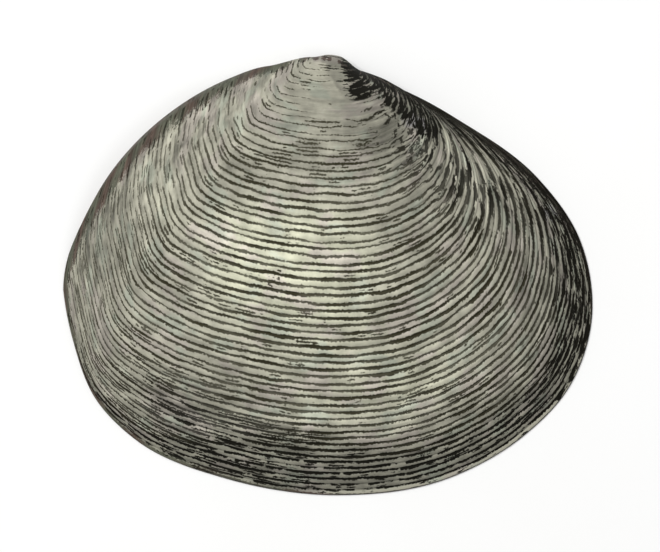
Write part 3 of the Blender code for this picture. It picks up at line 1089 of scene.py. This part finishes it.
def withLines(s, paintedShade, colour):
    f = lineFinish
    count, every = keptCount(s)
    line, swell = grooveLines(s, paintedShade, count, every)
    line = most(line, shortStrokes(s, paintedShade, count, every))
    strength = plus(swell, times(paintedShade, f["darkStrength"]))
    strength = ramp(strength, *f["strengthOver"], f["leastStrength"], 1.0)
    strength = minus(strength, times(s["rear"], f["rearFading"]))
    # the lines turn black on the painted shade and in the bold patches
    lineColour = mixColour(most(paintedShade, s["bold"]), f["line"], f["black"])
    return mixColour(times(line, strength), colour, lineColour), line


edgingFinish = {
    "olive": (0.075, 0.08, 0.056, 1),
    "brown": (0.07, 0.045, 0.034, 1),
    "frontBrown": (0.016, 0.008, 0.006, 1),
    "frontOlive": (0.045, 0.048, 0.03, 1),
    "black": stainAndShadeBlack,
    "uneven": 1.6,
    "ragged": 1.5,
    "alongLines": 0.3,
    "widthOver": (0.85, 1.0),
    "fleckRagged": 0.25,
    "brownOver": (0.4, 0.62),
    "streaksOver": (0.3, 0.7),
    "streakShades": (0.6, 1.5),
    "frontBrownOver": (0.44, 0.48),
    "frontOliveOver": (0.56, 0.6),
    "lines": 0.75,
    "cover": 0.92,
    "outermostOver": (0.03, 0.09),  # mm from the edge
    "outermostCover": 0.85,
}


# the dark edging, painted shade that is widest along the steep upper edges, brown and olive behind and
# near black in front
def withEdging(s, line, colour):
    f = edgingFinish
    edge = plus(s["shadeEdging"], swing(s["blotches"], f["uneven"]))
    edge = plus(edge, swing(s["ragged"], f["ragged"]))
    edge = ramp(minus(edge, times(line, f["alongLines"])), *f["widthOver"], 1.0, 0.0)
    shades = ramp(s["streaks"], *f["streaksOver"], *f["streakShades"])
    rearColour = mixColour(ramp(s["pinkCloud"], *f["brownOver"]), f["olive"], f["brown"])
    rearColour = mixColour(1.0, rearColour, shades, "MULTIPLY")
    flecks = plus(s["flecks"], swing(s["ragged"], f["fleckRagged"]))
    frontColour = mixColour(ramp(flecks, *f["frontBrownOver"]), f["black"], f["frontBrown"])
    frontColour = mixColour(ramp(flecks, *f["frontOliveOver"]), frontColour, f["frontOlive"])
    edgeColour = mixColour(s["frontHalf"], rearColour, frontColour)
    edgeColour = mixColour(times(line, f["lines"]), edgeColour, f["black"])
    colour = mixColour(times(edge, f["cover"]), colour, edgeColour)
    outermost = ramp(s["fromEdge"], *f["outermostOver"], f["outermostCover"], 0.0)
    return mixColour(outermost, colour, f["brown"])


outsideFinish = {
    "black": stainAndShadeBlack,
    "blotRagged": 0.12,
    "usualBlotching": 0.6,
    "blotching": 0.36,
    "flankBlots": 0.042,
    "blotsOver": (0.54, 0.57),
    "roughness": 0.6,
    "lineRoughness": 0.8,
    "shine": 0.13,
    "streakRelief": 0.6,
    "grainRelief": 0.4,
    "lineRelief": 0.6,
    "bump": 0.5,
    "bumpDepth": 0.00005,
}


# black blotches on the border and the flank, painted shade
def blackShadeBlots(s, paintedShade):
    f = outsideFinish
    blot = plus(s["blots"], swing(s["ragged"], f["blotRagged"]))
    more = times(minus(times(paintedShade, s["blotching"]), f["usualBlotching"]), f["blotching"])
    blot = plus(blot, plus(more, times(s["shadedFlank"], f["flankBlots"])))
    return times(ramp(blot, *f["blotsOver"]), paintedShade)


def outsideMaterial():
    f = outsideFinish
    material, tree, surface = newMaterial("growthLinedShell")
    s = shellSources(tree)
    paintedShade = paintedShadeParts(s)
    colour, line = withLines(s, paintedShade, groundColour(s, paintedShade))
    colour = withEdging(s, line, colour)
    black = blackShadeBlots(s, paintedShade)
    feed(surface.inputs["Base Color"], mixColour(black, colour, f["black"]))
    roughness = ramp(most(line, black), 0.0, 1.0, f["roughness"], f["lineRoughness"])
    feed(surface.inputs["Roughness"], roughness)
    feed(surface.inputs["Specular IOR Level"], f["shine"])
    height = plus(times(s["streaks"], f["streakRelief"]), times(s["grain"], f["grainRelief"]))
    height = minus(height, times(line, f["lineRelief"]))
    addBump(surface, height, f["bump"], f["bumpDepth"])
    return material


insideFinish = {
    "chalk": (0.83, 0.80, 0.72, 1),
    "flush": (0.80, 0.68, 0.52, 1),
    "edge": (0.86, 0.84, 0.78, 1),
    "scar": (0.70, 0.64, 0.54, 1),
    "cloudScale": 160.0,  # repeats per metre
    "cloudDetail": 4.0,
    "fineScale": 900.0,
    "flushOver": (0.35, 0.7),
    "edgeOver": (0.0, 3.0),  # mm from the rim
    "edgeCover": 0.85,
    "palliumFlush": 0.25,
    "scarCover": 0.6,
    "fineOver": (0.3, 0.7),
    "roughness": (0.42, 0.55),
    "scarGloss": 0.18,
    "palliumRelief": 1.5,
    "bump": 0.3,
    "bumpDepth": 0.00005,
}


def insideMaterial():
    f = insideFinish
    material, tree, surface = newMaterial("porcelainInside")
    coords = tree.nodes.new("ShaderNodeTexCoord").outputs["Object"]
    scar = attribute(tree, "scar")
    pallium = attribute(tree, "pallium")
    fromRim = attribute(tree, "fromRim")
    clouds = cloudy(coords, f["cloudScale"], f["cloudDetail"])
    fine = cloudy(coords, f["fineScale"])
    colour = mixColour(ramp(clouds, *f["flushOver"]), f["chalk"], f["flush"])
    colour = mixColour(ramp(fromRim, *f["edgeOver"], f["edgeCover"], 0.0), colour, f["edge"])
    colour = mixColour(times(pallium, f["palliumFlush"]), colour, f["flush"])
    colour = mixColour(times(scar, f["scarCover"]), colour, f["scar"])
    feed(surface.inputs["Base Color"], colour)
    roughness = minus(ramp(fine, *f["fineOver"], *f["roughness"]), times(scar, f["scarGloss"]))
    feed(surface.inputs["Roughness"], roughness)
    addBump(surface, plus(fine, times(pallium, f["palliumRelief"])), f["bump"], f["bumpDepth"])
    return material


mesh.materials.append(outsideMaterial())
mesh.materials.append(insideMaterial())
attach(valveShell, "root")
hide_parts("right_valve")
print("finish made")

studio = {
    "floorSize": 1.6,
    "floorSteps": 40,
    "floorDrop": 0.00002,  # keeps the floor just clear of the shell's edge
    "floorColour": (0.92, 0.92, 0.91, 1),
    "floorTint": (0.93, 0.93, 0.925, 1),
    "floorClouds": 60.0,
    "floorCloudsOver": (0.3, 0.7),
    "floorRoughness": 0.9,
    "keyPlace": (-0.12, 0.13, 0.34),
    "keySize": 0.2,
    "keyPower": 1.15,
    "fillPlace": (0.2, -0.1, 0.35),
    "fillSize": 0.3,
    "fillPower": 0.2,
    "sky": 0.36,
    "cameraHeight": 0.6,
    "sensorWidth": 36.0,
    "clipStart": 0.01,
    "pictureWidth": 660,
    "pixelsPerMm": 14.667,
    "middle": (0.15, -0.07),  # mm, what the middle of the picture looks at
}


def layFloor():
    s = studio
    steps = s["floorSteps"]
    bpy.ops.mesh.primitive_grid_add(x_subdivisions=steps, y_subdivisions=steps, size=s["floorSize"])
    floor = bpy.context.object
    floor.location.z = -s["floorDrop"]
    floor.name = "paperFloor"
    material, tree, surface = newMaterial("palePaper")
    coords = tree.nodes.new("ShaderNodeTexCoord").outputs["Object"]
    clouds = ramp(cloudy(coords, s["floorClouds"]), *s["floorCloudsOver"])
    feed(surface.inputs["Base Color"], mixColour(clouds, s["floorColour"], s["floorTint"]))
    feed(surface.inputs["Roughness"], s["floorRoughness"])
    floor.data.materials.append(material)


def addToScene(name, data, place):
    made = bpy.data.objects.new(name, data)
    made.location = place
    bpy.context.scene.collection.objects.link(made)
    return made


def softBox(name, place, size, power):
    light = bpy.data.lights.new(name, "AREA")
    light.shape = "DISK"
    light.size = size
    light.energy = power
    lamp = addToScene(name, light, place)
    lamp.rotation_euler = (-Vector(place)).to_track_quat("-Z", "Y").to_euler()


def lightRoom():
    s = studio
    softBox("keyLight", s["keyPlace"], s["keySize"], s["keyPower"])
    softBox("fillLight", s["fillPlace"], s["fillSize"], s["fillPower"])
    world = bpy.data.worlds.new("paleRoom")
    world.use_nodes = True
    background = world.node_tree.nodes["Background"]
    background.inputs["Color"].default_value = (1, 1, 1, 1)
    background.inputs["Strength"].default_value = s["sky"]
    bpy.context.scene.world = world


def hangCamera():
    s = studio
    camera = bpy.data.cameras.new("overheadCamera")
    camera.sensor_width = s["sensorWidth"]
    widthMm = s["pictureWidth"] / s["pixelsPerMm"]
    camera.lens = s["sensorWidth"] * s["cameraHeight"] / (widthMm * mm)
    camera.clip_start = s["clipStart"]
    lookX, lookY = s["middle"]
    place = (lookX * mm, lookY * mm, s["cameraHeight"])
    bpy.context.scene.camera = addToScene("overheadCamera", camera, place)
    bpy.context.scene.view_settings.view_transform = "Standard"


layFloor()
lightRoom()
hangCamera()
print("studio set")
